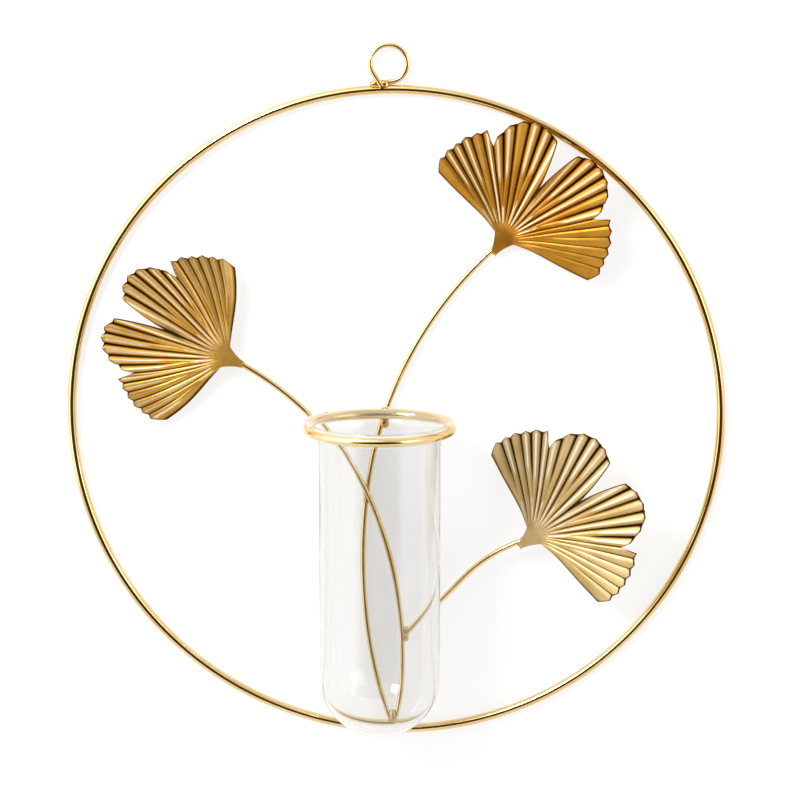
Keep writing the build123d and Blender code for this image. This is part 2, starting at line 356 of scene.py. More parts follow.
def make_glass_material():
    """Clear blown glass with a faint ripple and a bright lip."""
    material, tree, shader = new_material("clear_glass")
    place = add_node(tree, "ShaderNodeTexCoord").outputs["Object"]
    ripple = noise(tree, place, ripples_per_metre, ripple_detail)
    film = noise(tree, place, smears_per_metre, smear_detail)
    rim = add_node(tree, "ShaderNodeAttribute", attribute_name="rim").outputs["Fac"]
    behind = add_node(tree, "ShaderNodeNewGeometry").outputs["Backfacing"]
    far_side = combine(tree, "MULTIPLY", rim, behind)
    fill(tree, shader, {
        "Base Color": glass_tint,
        "Transmission Weight": 1.0,
        "IOR": glass_ior,
        "Coat Weight": rim,
        "Coat IOR": lip_coat_ior,
        "Roughness": remap(tree, film, smear_range, smear_roughness),
        "Alpha": remap(tree, far_side, rim_clear_range, (1.0, 0.0)),
    })
    add_bump(tree, shader, ripple, ripple_relief, ripple_depth)
    return material


clear_glass = make_glass_material()
print("glass:", clear_glass.name)

# %% [markdown]
# ## Geometry Nodes helpers
# Every tree here takes a mesh and some named sizes, and ends in the same way: smooth shading, Realize
# Instances and Set Material. A modifier's input is set by its socket's identifier. The result is then copied
# to a plain mesh, and the object that carried the modifier is thrown away.

# %% Tree helpers
def new_tree(name, sizes):
    """A Geometry Nodes tree with a named input for each size, and its input sockets."""
    tree = bpy.data.node_groups.new(name, "GeometryNodeTree")
    inputs = {"Geometry": "Geometry", **dict.fromkeys(sizes, "Float"), "Finish": "Material"}
    add_sockets(tree, "OUTPUT", {"Geometry": "Geometry"})
    add_sockets(tree, "INPUT", inputs)
    return tree, add_node(tree, "NodeGroupInput").outputs


def set_place(tree, geometry, name, vector):
    """A Set Position node, with its Position or Offset."""
    return add_node(tree, "GeometryNodeSetPosition", {"Geometry": geometry, name: vector}).outputs[0]


def ease_surface(tree, geometry, rounds, weight=1.0):
    """A mesh with its points drawn towards their neighbours."""
    place = add_node(tree, "GeometryNodeInputPosition").outputs[0]
    inputs = {"Value": place, "Iterations": rounds, "Weight": weight}
    blur = add_node(tree, "GeometryNodeBlurAttribute", inputs, data_type="FLOAT_VECTOR")
    return set_place(tree, geometry, "Position", blur.outputs[0])


def end_tree(tree, given, geometry):
    """Smooth shading, real geometry and the material."""
    smooth = add_node(tree, "GeometryNodeSetShadeSmooth", {"Geometry": geometry}).outputs[0]
    real = add_node(tree, "GeometryNodeRealizeInstances", {"Geometry": smooth}).outputs[0]
    finish = add_node(tree, "GeometryNodeSetMaterial", {"Geometry": real, "Material": given["Finish"]})
    add_node(tree, "NodeGroupOutput", {"Geometry": finish.outputs[0]})
    print("tree", tree.name, "has", len(tree.nodes), "nodes")


print("tree helpers: new_tree, set_place, ease_surface, end_tree")

# %% Piece helpers
def new_object(name, mesh):
    """An object for a mesh, in the scene."""
    piece = bpy.data.objects.new(name, mesh)
    bpy.context.scene.collection.objects.link(piece)
    return piece


def run_tree(carrier, tree, finish, sizes, sheet=0.0):
    """The plain mesh that a tree makes of an object, thickened where a sheet is given."""
    modifier = carrier.modifiers.new(tree.name, "NODES")
    modifier.node_group = tree
    sockets = [item for item in tree.interface.items_tree if item.in_out == "INPUT"]
    identifiers = {item.name: item.identifier for item in sockets}
    modifier[identifiers["Finish"]] = finish
    for size, value in sizes.items():
        modifier[identifiers[size]] = value
    if sheet:
        solid = carrier.modifiers.new("sheet", "SOLIDIFY")
        solid.thickness = sheet
        solid.offset = 0.0
    depsgraph = bpy.context.evaluated_depsgraph_get()
    evaluated = carrier.evaluated_get(depsgraph)
    mesh = bpy.data.meshes.new_from_object(evaluated, preserve_all_data_layers=True, depsgraph=depsgraph)
    bpy.data.objects.remove(carrier)
    return mesh


def place_piece(name, mesh, node, body="frame"):
    """A finished piece that rides on a body and stands for a CAD node."""
    mesh.name = name
    piece = new_object(name, mesh)
    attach(piece, body)
    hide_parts(node)
    print(name, "stands for", node, "with", len(mesh.polygons), "faces")


print("piece helpers: new_object, run_tree, place_piece")

# %% [markdown]
# ## Wire
# Hoop, ring, stems and eye are all drawn wire bent to a path. A curve object with a round bevel would show
# one. Here the path is a chain of points, and one tree turns it into a curve and sweeps a circle along it, so
# that every wire comes from the same rule. Sweeping keeps the wire round and smooth at every bend.

# %% Wire tree
wire_sides = 28


def make_wire_tree():
    """Round wire along a chain of points."""
    tree, given = new_tree("drawn_wire", ["Diameter"])
    path = add_node(tree, "GeometryNodeMeshToCurve", {"Mesh": given["Geometry"]}).outputs[0]
    section = {"Resolution": wire_sides, "Radius": combine(tree, "MULTIPLY", given["Diameter"], 0.5)}
    circle = add_node(tree, "GeometryNodeCurvePrimitiveCircle", section, mode="RADIUS").outputs[0]
    inputs = {"Curve": path, "Profile Curve": circle, "Fill Caps": True}
    end_tree(tree, given, add_node(tree, "GeometryNodeCurveToMesh", inputs).outputs[0])
    return tree


wire_tree = make_wire_tree()


def make_wire(name, points, diameter, closed=False):
    """A wire piece along a chain of points, for the CAD node of the same name."""
    count = len(points)
    edges = [(i, i + 1) for i in range(count - 1)]
    if closed:
        edges.append((count - 1, 0))
    chain = bpy.data.meshes.new(name + "_path")
    chain.from_pydata(points, edges, [])
    mesh = run_tree(new_object(name + "_path", chain), wire_tree, wire_gold, {"Diameter": diameter})
    place_piece(name + "_wire", mesh, name)


# %% [markdown]
# ## Hoop and holder ring
# Both are closed rounds of wire, the hoop upright and the ring level. Two torus primitives would do, but the
# wire tree gives them the same section as the wires that are welded to them. Their centres, diameters and
# wire sizes are read from the CAD boxes.

# %% Hoop and ring
circle_steps = 288
right, back, up = Vector((1, 0, 0)), Vector((0, 1, 0)), Vector((0, 0, 1))


def circle_points(centre, radius, across, upward):
    """Points of a circle spanned by two directions."""
    turns = [2 * pi * i / circle_steps for i in range(circle_steps)]
    return [centre + across * (radius * cos(turn)) + upward * (radius * sin(turn)) for turn in turns]


hoop_wire = hoop_high.y - hoop_low.y
hoop_radius = (hoop_high.x - hoop_low.x - hoop_wire) / 2
ring_low, ring_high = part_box("holder_ring")
ring_centre = (ring_low + ring_high) / 2
ring_wire = ring_high.z - ring_low.z
ring_radius = (ring_high.x - ring_low.x - ring_wire) / 2
make_wire("hoop", circle_points(hoop_centre, hoop_radius, right, up), hoop_wire, closed=True)
make_wire("holder_ring", circle_points(ring_centre, ring_radius, right, back), ring_wire, closed=True)

# %% [markdown]
# ## Stems
# Each stem is bent in two smooth arcs that meet without a kink: a biarc. A Bezier curve could be dragged into
# place by eye, but two arcs follow the CAD stem exactly. A stem is drawn flat, in a plane seen from the room,
# and that plane is then stood at the hoop's bottom. The left stem's plane leans to the front, so that it
# passes over the long stem, and the short stem branches off it and leans further.

# %% Stem planes
stem_wire = 2.5 * mm
left_lean = radians(1.349)
branch_lean = radians(6.0)
branch_height = 42.0 * mm
seen_from_room = Matrix.Rotation(radians(90), 4, "X")
root_point = hoop_centre - up * (hoop_radius - hoop_wire / 2)
root_plane = Matrix.Translation(root_point) @ seen_from_room
left_plane = root_plane @ Matrix.Rotation(left_lean, 4, "X")
branch_hinge = Matrix.Translation((0, branch_height, 0))
branch_plane = left_plane @ branch_hinge @ Matrix.Rotation(branch_lean, 4, "X") @ branch_hinge.inverted()
# plane, start, start heading, end and end heading of each stem, in millimetres and degrees in its plane
stems = {
    "left": (left_plane, (1.4, 0.33), 79.6, (-73.2, 172.06), 153.0),
    "top": (root_plane, (-1.4, 0.52), 109.4, (47.69, 225.37), 41.7),
    "right": (branch_plane, (6.48, 44.4), 46.7, (61.68, 91.81), 19.5),
}
print("stems start at", root_point)

# %% Stems
arc_steps = 60


def heading(angle):
    """Unit vector at an angle in degrees, in a plane seen from the room."""
    return Vector((cos(radians(angle)), sin(radians(angle)), 0))


def arc_points(start, leave, end):
    """Points of the arc that leaves start along a direction and reaches end."""
    chord = end - start
    swing = acos(max(-1.0, min(1.0, chord.normalized().dot(leave))))
    turn = swing if leave.cross(chord).z > 0 else -swing
    points = []
    for i in range(1, arc_steps + 1):
        share = i / arc_steps
        reach = chord.length * sin(swing * share) / sin(swing)
        points.append(start + (Matrix.Rotation(turn * share, 4, "Z") @ leave) * reach)
    return points


def biarc_points(start, start_angle, end, end_angle):
    """Points along two arcs that meet smoothly."""
    leave, arrive = heading(start_angle), heading(end_angle)
    chord = end - start
    turn = 2 * (1 - leave.dot(arrive))
    run = chord.dot(leave + arrive)
    reach = (sqrt(run**2 + turn * chord.dot(chord)) - run) / turn
    joint = (start + end + (leave - arrive) * reach) / 2
    first = arc_points(start, leave, joint)
    second = arc_points(end, -arrive, joint)
    return [start] + first + list(reversed(second))[1:] + [end]


for place, (plane, start, start_angle, end, end_angle) in stems.items():
    flat_start = Vector((*start, 0)) * mm
    flat_end = Vector((*end, 0)) * mm
    route = biarc_points(flat_start, start_angle, flat_end, end_angle)
    make_wire("stem_" + place, [plane @ point for point in route], stem_wire)

# %% [markdown]
# ## Hanging eye
# A thinner wire makes one turn. It starts on top of the hoop and runs round flat to the top of the eye. From
# there it swings to the front, and its straight end lies over the front of the hoop. A full ring would be
# simpler, but the crossing ends are what shows that it was bent from wire.

# %% Hanging eye
eye_wire = 2.2 * mm
eye_radius = 8.2 * mm
eye_start = 262
eye_top_angle = 90
eye_leave = 213
eye_tail = 7.2 * mm
seat_gap = 0.1 * mm
eye_front = (hoop_wire + eye_wire) / 2 + seat_gap
degree_step = 4
flat_angles = range(eye_start, eye_top_angle + 360, degree_step)
front_angles = range(eye_top_angle, eye_leave, degree_step)
flat_turn = [heading(angle) * eye_radius for angle in flat_angles]
front_turn = [heading(angle) * eye_radius for angle in front_angles]
leave_point = heading(eye_leave) * eye_radius
tail_point = leave_point + heading(eye_leave + 90) * eye_tail
eye_top = Vector((0, eye_radius, 0))
swing = atan2(eye_front, eye_radius - tail_point.y)
swing_matrix = Matrix.Translation(eye_top) @ Matrix.Rotation(-swing, 4, "X") @ Matrix.Translation(-eye_top)
eye_points = flat_turn + [swing_matrix @ point for point in front_turn + [leave_point, tail_point]]
make_wire("hanger_eye", [seen_from_room @ point for point in eye_points], eye_wire)

# %% [markdown]
# ## Leaf rule
# A leaf is one sheet pressed into rounded ribs that fan out from a flat collar. A rule makes it better than
# points placed by hand. A flat grid has two coordinates: how far across the fan, and how far out. The tree
# works out from them which rib a point is on, how long that rib is, and how high the sheet stands there.
# The small class below lets node arithmetic be written like ordinary arithmetic.

# %% Node arithmetic
class Field:
    """A number that a tree works out at every point."""

    def __init__(self, tree, socket):
        self.tree = tree
        self.socket = socket

    def __add__(self, other):
        return calc("ADD", self, other)

    def __radd__(self, other):
        return calc("ADD", other, self)

    def __sub__(self, other):
        return calc("SUBTRACT", self, other)

    def __rsub__(self, other):
        return calc("SUBTRACT", other, self)

    def __mul__(self, other):
        return calc("MULTIPLY", self, other)

    def __truediv__(self, other):
        return calc("DIVIDE", self, other)

    def __pow__(self, other):
        return calc("POWER", self, other)

    def __lt__(self, other):
        return calc("LESS_THAN", self, other)

    def __gt__(self, other):
        return calc("GREATER_THAN", self, other)


def calc(operation, *values):
    """A Math node of numbers and fields."""
    tree = next(value.tree for value in values if isinstance(value, Field))
    node = add_node(tree, "ShaderNodeMath", dict(enumerate(values)), operation=operation)
    return Field(tree, node.outputs[0])


print("node arithmetic: Field, calc")

# %% Field helpers
degree = radians(1)


def choose(test, yes, no):
    """yes where the test is 1, and no where it is 0."""
    return no + test * (yes - no)


def clamp(value):
    """A field held between 0 and 1."""
    return calc("MINIMUM", calc("MAXIMUM", value, 0.0), 1.0)


def wave(turns):
    """Rounded humps: 0 at whole numbers, where they meet in a sharp fold, and 1 between them."""
    return calc("ABSOLUTE", calc("SINE", turns * pi))


def vector_of(tree, x, y, z):
    """A vector socket from three fields."""
    return add_node(tree, "ShaderNodeCombineXYZ", {0: x, 1: y, 2: z}).outputs[0]


def vector_math(tree, operation, first, second):
    """A sum or difference of two vector sockets."""
    return add_node(tree, "ShaderNodeVectorMath", {0: first, 1: second}, operation=operation).outputs[0]


def turned(tree, vector, axis, angle):
    """A vector socket turned about the X or Y axis by a field in degrees."""
    inputs = {"Vector": vector, "Angle": angle * degree}
    return add_node(tree, "ShaderNodeVectorRotate", inputs, rotation_type=axis + "_AXIS").outputs[0]


def parts_of(tree, vector):
    """The X, Y and Z of a vector socket, as fields."""
    node = add_node(tree, "ShaderNodeSeparateXYZ", {0: vector})
    return [Field(tree, socket) for socket in node.outputs]


print("field helpers: choose, clamp, wave, vector_of, vector_math, turned, parts_of")

# %% [markdown]
# ## Flat leaf
# The sheet starts as a flat grid. Angles count from the notch in the middle to the side of the fan, out runs
# from 0 at the collar to 1 at the rim, and the first rows, where steps is below 0, become the tab. What is
# known of a point is kept in one bundle, called spot, and each step below adds to it.

# %% Flat leaf
pressed_spread = 74.5
collar_share = 0.14
across_points = 480
along_points = 64
grid_half = 0.5


def lay_grid(tree):
    """The flat grid, and where each of its points lies on it."""
    counts = {"Vertices X": across_points + 1, "Vertices Y": along_points + 1}
    grid = add_node(tree, "GeometryNodeMeshGrid", counts)
    across, along, _ = parts_of(tree, add_node(tree, "GeometryNodeInputPosition").outputs[0])
    spot = SimpleNamespace(tree=tree, across=across)
    spot.side = calc("SIGN", across)
    spot.angle = calc("ABSOLUTE", across) * (pressed_spread / grid_half)
    spot.steps = (along + grid_half) * (1 + collar_share) - collar_share
    spot.out = clamp(spot.steps)
    return grid.outputs["Mesh"], spot


print("leaf grid:", across_points, "by", along_points)

# %% [markdown]
# ## Ribs of a leaf
# Each half of the fan has an inner and an outer lobe with six ribs at the rim. Towards the collar they join
# in the pattern one, two, one, two, so every second pleat forks. Place counts ribs along the rim of a lobe,
# and pleat counts what they have joined to at the collar. No two pleats were pressed alike, so a noise with
# a fixed pattern number gives each rib a small difference of its own.

# %% Ribs of a leaf
step_angle = 36.2
collar_spread = 58.0
# first rib, last rib, tip angle, tip reach and fall of each lobe's rim
inner_lobe = (5.5, 33.5, 16.2, 60.2 * mm, 0.034 * mm)
outer_lobe = (38.5, 67.5, 14.8, 54.4 * mm, 0.0027 * mm)
lobes_in_half = 2
ribs_in_lobe = 6
ribs_in_group = 3
pleats_in_group = 2
pleats_in_lobe = pleats_in_group * ribs_in_lobe // ribs_in_group
half_rib = 0.5
noise_step = 0.731
lobe_shift = 7
side_shift = 20
noise_middle = 0.5
start_spread = 0.2
fade_from = 0.53
fade_gain = 8.0


def find_rib(spot):
    """Which lobe, rib and pleat each point is on."""
    angle = spot.angle
    spot.outer = angle > step_angle
    limits = [choose(spot.outer, b, a) for a, b in zip(inner_lobe, outer_lobe)]
    spot.first, spot.last, spot.tip, spot.tip_reach, spot.fall = limits
    lobe_start = spot.outer * step_angle
    lobe_end = choose(spot.outer, pressed_spread, step_angle)
    pitch = (spot.last - spot.first) / (ribs_in_lobe - 1)
    spot.before = angle < spot.first
    spot.after = angle > spot.last
    spot.lead_in = (angle - lobe_start) / (spot.first - lobe_start)
    spot.run_out = (angle - spot.last) / (lobe_end - spot.last)
    place = choose(spot.before, spot.lead_in * half_rib, (angle - spot.first) / pitch + half_rib)
    spot.place = choose(spot.after, spot.run_out * half_rib + (ribs_in_lobe - half_rib), place)
    group = calc("FLOOR", spot.place / ribs_in_group)
    inside = spot.place - group * ribs_in_group
    # the first rib of a group has a pleat of its own, and the other two share one
    joined = choose(inside < 1.0, inside, inside * 0.5 + 0.5)
    spot.pleat = group * pleats_in_group + joined + spot.outer * pleats_in_lobe
    spot.collar_angle = spot.pleat * (collar_spread / (lobes_in_half * pleats_in_lobe))


def vary_ribs(spot, sizes):
    """How much each rib differs from the rule, and how far its painted highlight and shade are faded."""
    rib_number = calc("FLOOR", spot.place) + spot.outer * lobe_shift + spot.side * side_shift
    numbers = vector_of(spot.tree, rib_number * noise_step, sizes["Pattern"], 0.0)
    inputs = {"Vector": numbers, "Scale": 1.0}
    seed = add_node(spot.tree, "ShaderNodeTexNoise", inputs, noise_dimensions="2D")
    spot.uneven = (Field(spot.tree, seed.outputs["Fac"]) - noise_middle) * sizes["Unevenness"]
    spot.start_shift = calc("ABSOLUTE", spot.uneven) * start_spread
    # a second noise picks the ribs whose painted highlight and shade are faded
    fade_noise = parts_of(spot.tree, seed.outputs["Color"])[2]
    spot.rubbed = clamp((fade_noise - fade_from) * fade_gain)


print("each lobe has", ribs_in_lobe, "ribs, from", pleats_in_lobe, "pleats")

# %% [markdown]
# ## Outline and folds
# Teeth, the notch in the middle and the step between the lobes all come from how far out each angle reaches.
# The fold is a row of rounded humps. It starts a little way out of the collar, forks between two distances
# and is pressed less deep in the outer lobes. The whole fan is curled and its corners droop.

# %% Outline and folds
collar_radius = 6.0 * mm
step_reach = 44.5 * mm
notch_reach = 32.0 * mm
corner_reach = 42.2 * mm
uneven_reach = 2.0 * mm
rib_power = 0.7
outer_depth = 0.3
depth_fade = 10.0
fork_from = 0.25
fork_to = 0.62
fork_shift = 0.5
fold_from = 0.03
fold_gain = 6.0
hump_middle = 0.5


def measure_reach(spot, sizes):
    """How far each point lies from the neck, between the collar and the toothed rim."""
    def lobe_reach(angle):
        return spot.tip_reach - spot.fall * (angle - spot.tip) ** 2

    first_reach, last_reach = lobe_reach(spot.first), lobe_reach(spot.last)
    start_reach = choose(spot.outer, step_reach, notch_reach)
    end_reach = choose(spot.outer, corner_reach, step_reach)
    lead_in = start_reach + (first_reach - start_reach) * spot.lead_in
    run_out = last_reach + (end_reach - last_reach) * spot.run_out
    reach = choose(spot.before, lead_in, lobe_reach(spot.angle))
    reach = choose(spot.after, run_out, reach)
    rim_point = calc("PINGPONG", spot.place, half_rib) / half_rib
    toothed = (1 - rim_point) * (1 - spot.before) * (1 - spot.after)
    reach = reach - (sizes["Tooth Depth"] * toothed - spot.uneven * uneven_reach)
    spot.radius = (reach - collar_radius) * spot.out + collar_radius


def press_ribs(spot, sizes):
    """How high each point stands over the flat sheet."""
    forked = clamp((spot.out - fork_from + spot.uneven * fork_shift) / (fork_to - fork_from))
    spot.hump = choose(forked, wave(spot.place), wave(spot.pleat)) ** rib_power
    begun = clamp((spot.out - fold_from - spot.start_shift) * fold_gain)
    depth = 1.0 - clamp((spot.angle - step_angle) / depth_fade) * (1.0 - outer_depth)
    fold = (spot.hump - hump_middle) * sizes["Rib Height"] * depth * (spot.uneven + 1.0) * begun
    droop = sizes["Corner Droop"] * (spot.angle / pressed_spread) ** 2
    drop = sizes["Side Drop"] * spot.out * spot.outer * spot.after * spot.run_out
    spot.height = (sizes["Fan Curl"] - droop) * spot.out**2 - drop + fold


print("reach in metres: notch", notch_reach, "step", step_reach, "corner", corner_reach)

# %% [markdown]
# ## Fan, collar and tab
# The fan is opened to its spread, leaned and rolled about the collar, as a hand bends a leaf at its neck. The
# collar narrows in a curve to the tab that lies on the stem. Where the pleats run into the flat collar the
# sheet is eased, because metal does not fold sharply there.

# %% Fan, collar and tab
fan_flare = 3
tab_length = 5.5 * mm
tab_half_width = 1.5 * mm
tab_flare = 1.6
ease_rounds = 30
ease_fan = 2.5
ease_tab = 2.0


def place_sheet(spot, sizes):
    """Where each point of the bent leaf lies."""
    tree = spot.tree
    spread = (sizes["Half Spread"] / pressed_spread - 1.0) * spot.out + 1.0
    opening = 1.0 - (1.0 - spot.out) ** fan_flare
    collar_turn = spot.collar_angle * degree
    fan_turn = ((spot.angle - spot.collar_angle) * opening + spot.collar_angle) * spread * degree
    collar_x = calc("SINE", collar_turn) * spot.side * collar_radius
    collar_y = calc("COSINE", collar_turn) * collar_radius
    fan_x = calc("SINE", fan_turn) * spot.side * spot.radius
    fan_y = calc("COSINE", fan_turn) * spot.radius
    collar_point = vector_of(tree, collar_x, collar_y, 0.0)
    fan_point = vector_of(tree, fan_x, fan_y, spot.height)
    leaning = turned(tree, vector_math(tree, "SUBTRACT", fan_point, collar_point), "X", sizes["Lean"])
    rolling = turned(tree, leaning, "Y", sizes["Roll"] * -1.0)

    spot.tab_share = clamp(spot.steps / collar_share + 1.0)
    tab_x = spot.across * (tab_half_width / grid_half)
    flat_x = (collar_x - tab_x) * spot.tab_share**tab_flare + tab_x
    flat_y = (collar_y + tab_length) * spot.tab_share - tab_length
    flat_point = vector_of(tree, flat_x, flat_y, 0.0)
    bent_point = vector_math(tree, "ADD", rolling, collar_point)
    inputs = {"Switch": spot.steps > 0.0, "False": flat_point, "True": bent_point}
    return add_node(tree, "GeometryNodeSwitch", inputs, input_type="VECTOR").outputs[0]


def ease_collar(spot, geometry):
    """The leaf with its sheet smoothed round the collar."""
    weight = clamp(1.0 - spot.out * ease_fan) * clamp(spot.tab_share * ease_tab)
    return ease_surface(spot.tree, geometry, ease_rounds, weight)


print("tab in metres:", tab_length, "long and", 2 * tab_half_width, "wide")

# %% [markdown]
# ## Leaf tree
# The steps above are put together here. The rib attribute, which the leaf gold reads, is stored on the way:
# its painted highlight and shade are weaker on faded ribs, it is plain on the collar, and it is lowered along
# the cut rim as painted shade.

# %% Leaf tree
leaf_sizes = [
    "Half Spread", "Lean", "Roll", "Rib Height", "Tooth Depth", "Fan Curl", "Corner Droop", "Side Drop",
    "Unevenness", "Pattern", "Light Fade",
]
plain_rib = 0.8
mark_from = 0.02
mark_gain = 16.0
rim_from = 0.98
rim_gain = 50.0
rim_shade = 0.7


def store_ribs(spot, sizes, geometry):
    """The leaf with its rib attribute."""
    # painted highlight and shade are faded on ribs picked by noise and on the outer lobe of one side
    faded = calc("MAXIMUM", spot.outer * (spot.side > 0.0), spot.rubbed) * sizes["Light Fade"]
    light_marked = clamp((spot.out - mark_from - spot.start_shift) * mark_gain) * (1.0 - faded)
    # painted shade: the rib value drops along the cut rim, so the rim takes the dark fold colour
    edge = clamp((spot.out - rim_from) * rim_gain)
    rib = ((spot.hump - plain_rib) * light_marked + plain_rib) * (1.0 - edge * rim_shade)
    inputs = {"Geometry": geometry, "Name": "rib", "Value": rib}
    store = add_node(spot.tree, "GeometryNodeStoreNamedAttribute", inputs, data_type="FLOAT", domain="POINT")
    return store.outputs[0]


def make_leaf_tree():
    """The pressed leaf: its neck at the origin, its fan along +Y and its front to +Z."""
    tree, given = new_tree("pressed_leaf", leaf_sizes)
    sizes = {name: Field(tree, given[name]) for name in leaf_sizes}
    grid, spot = lay_grid(tree)
    find_rib(spot)
    vary_ribs(spot, sizes)
    measure_reach(spot, sizes)
    press_ribs(spot, sizes)
    light_marked = store_ribs(spot, sizes, grid)
    bent = set_place(tree, light_marked, "Position", place_sheet(spot, sizes))
    end_tree(tree, given, ease_collar(spot, bent))
    return tree


leaf_tree = make_leaf_tree()

# %% [markdown]
# ## Leaves
# The three leaves are one pressing, bent by hand after it was soldered on. Each gets its own heading, lean,
# roll and spread. A Solidify modifier gives the sheet its thickness before the mesh is copied out.

# %% Leaves
sheet = 0.6 * mm
leaf_front = stem_wire / 2 + seat_gap + sheet / 2
pressing = {
    "Rib Height": 2.2 * mm,
    "Tooth Depth": 1.2 * mm,
    "Fan Curl": 4.0 * mm,
    "Corner Droop": 3.0 * mm,
    "Side Drop": 2.0 * mm,
    "Unevenness": 0.6,
}
# heading of each leaf in its stem's plane, how it was bent, and how far its painted highlight and shade are
# faded
leaf_bends = {
    "left": (155.2, {"Lean": -3.0, "Roll": 2.0, "Half Spread": 67.5, "Pattern": 3.1, "Light Fade": 0.15}),
    "top": (54.7, {"Lean": 14.0, "Roll": 4.2, "Half Spread": 76.5, "Pattern": 11.7, "Light Fade": 0.45}),
    "right": (38.4, {"Lean": 11.0, "Roll": 18.5, "Half Spread": 77.5, "Pattern": 23.3, "Light Fade": 0.45}),
}

for place, (leaf_heading, bend) in leaf_bends.items():
    plane, _, _, neck, _ = stems[place]
    carrier = new_object("leaf_carrier", bpy.data.meshes.new("leaf_carrier"))
    mesh = run_tree(carrier, leaf_tree, leaf_golds[place], {**pressing, **bend}, sheet)
    at_neck = Matrix.Translation((neck[0] * mm, neck[1] * mm, leaf_front))
    mesh.transform(plane @ at_neck @ Matrix.Rotation(radians(leaf_heading - 90), 4, "Z"))
    place_piece("leaf_" + place + "_sheet", mesh, "leaf_" + place)

# %% [markdown]
# ## Welds
# A bead of weld is a lump that ran into the corner between two wires and froze. It could be sculpted, but the
# CAD beads already have the right place and size, only with crisp edges. One tree turns each into a small
# volume and back, which melts the edges, and then pushes the surface in and out a little with noise.

# %% Weld tree
same_point = 0.01 * mm
melt_rounds = 4
lump_middle = 0.7


def make_weld_tree():
    """A melted, slightly lumpy version of a solid."""
    tree, given = new_tree("melted_bead", ["Grain", "Lumps", "Lumps per Metre"])
    inputs = {"Geometry": given["Geometry"], "Distance": same_point}
    solid = add_node(tree, "GeometryNodeMergeByDistance", inputs).outputs[0]
    inputs = {"Mesh": solid, "Voxel Size": given["Grain"]}
    volume = add_node(tree, "GeometryNodeMeshToVolume", inputs, resolution_mode="VOXEL_SIZE").outputs[0]
    inputs = {"Volume": volume, "Voxel Size": given["Grain"]}
    skin = add_node(tree, "GeometryNodeVolumeToMesh", inputs, resolution_mode="VOXEL_SIZE").outputs[0]
    melted = ease_surface(tree, skin, melt_rounds)
    place = add_node(tree, "GeometryNodeInputPosition").outputs[0]
    lumps = add_node(tree, "ShaderNodeTexNoise", {"Vector": place, "Scale": given["Lumps per Metre"]})
    push = (Field(tree, lumps.outputs["Fac"]) - lump_middle) * Field(tree, given["Lumps"])
    normal = add_node(tree, "GeometryNodeInputNormal").outputs[0]
    along = add_node(tree, "ShaderNodeVectorMath", {0: normal, "Scale": push}, operation="SCALE")
    end_tree(tree, given, set_place(tree, melted, "Offset", along.outputs[0]))
    return tree


weld_tree = make_weld_tree()

# %% Welds
weld_sizes = {"Grain": 0.2 * mm, "Lumps": 1.0 * mm, "Lumps per Metre": 420.0}
for node in sorted(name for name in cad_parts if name.endswith("_weld")):
    carrier = new_object("weld_carrier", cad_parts[node].data.copy())
    mesh = run_tree(carrier, weld_tree, weld_gold, weld_sizes)
    place_piece(node + "_bead", mesh, node)

# %% [markdown]
# ## Glass tube
# Glass shows every facet in its reflections, so the tube is turned again here with many more steps than the
# CAD mesh has. The section runs up the outside from the round end, over the flared lip and down the inside.
# The wall thins towards the lip, as it does when hot glass is pulled outwards. A Screw modifier could turn
# the section, but built ring by ring the poles are single points, and the lip's rings are known by number.
# The rim attribute is 1 on the lip and fades along the flare.

# %% Glass section
glass_low, glass_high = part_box("glass_tube")
glass_radius = 27.0 * mm
glass_wall = 1.2 * mm
lip_wall = 0.7 * mm
flare_radius = 8.0 * mm
flare_angle = 75
round_steps = 32
flare_steps = 20
lip_steps = 12
lip_height = (flare_radius + glass_wall / 2) * sin(radians(flare_angle)) + glass_wall / 2
flare_z = glass_high.z - lip_height
round_z = glass_low.z + glass_radius


def section_arc(across, height, radius, first, last, steps):
    """Points of an arc in the section, as distance from the axis and height. Angles turn up from outwards."""
    angles = [radians(first + (last - first) * i / steps) for i in range(steps + 1)]
    return [(across + radius * cos(angle), height + radius * sin(angle)) for angle in angles]


def make_section():
    """The tube's section, from the axis outside to the axis inside."""
    flare_x = glass_radius + flare_radius
    lip_middle = flare_radius + lip_wall / 2
    lip_x = flare_x - lip_middle * cos(radians(flare_angle))
    lip_z = flare_z + lip_middle * sin(radians(flare_angle))
    points = section_arc(0, round_z, glass_radius, -90, 0, round_steps)
    points += section_arc(flare_x, flare_z, flare_radius, 180, 180 - flare_angle, flare_steps)
    points += section_arc(lip_x, lip_z, lip_wall / 2, -flare_angle, 180 - flare_angle, lip_steps)[1:-1]
    for i in range(flare_steps + 1):
        share = i / flare_steps
        inside = flare_radius + lip_wall + (glass_wall - lip_wall) * share
        angle = radians(180 - flare_angle * (1 - share))
        points.append((flare_x + inside * cos(angle), flare_z + inside * sin(angle)))
    points += section_arc(0, round_z, glass_radius - glass_wall, 0, -90, round_steps)
    return points


glass_section = make_section()
print("glass section:", len(glass_section), "points")

# %% Glass tube
turn_steps = 160
rim_ring = round_steps + flare_steps + lip_steps // 2
rim_fade = 18


def turn_section(name, points, centre):
    """A mesh turned about a vertical axis, from a section that starts and ends on it."""
    turns = [2 * pi * i / turn_steps for i in range(turn_steps)]
    form = bmesh.new()
    rings = []
    for across, height in points[1:-1]:
        places = [(centre.x + across * cos(turn), centre.y + across * sin(turn), height) for turn in turns]
        rings.append([form.verts.new(place) for place in places])
    poles = [form.verts.new((centre.x, centre.y, points[i][1])) for i in (0, -1)]
    for i in range(turn_steps):
        following = (i + 1) % turn_steps
        form.faces.new((poles[0], rings[0][following], rings[0][i]))
        form.faces.new((poles[1], rings[-1][i], rings[-1][following]))
        for below, above in zip(rings, rings[1:]):
            form.faces.new((below[i], below[following], above[following], above[i]))
    bmesh.ops.recalc_face_normals(form, faces=form.faces)
    for face in form.faces:
        face.smooth = True
    mesh = bpy.data.meshes.new(name)
    form.to_mesh(mesh)
    form.free()
    return mesh


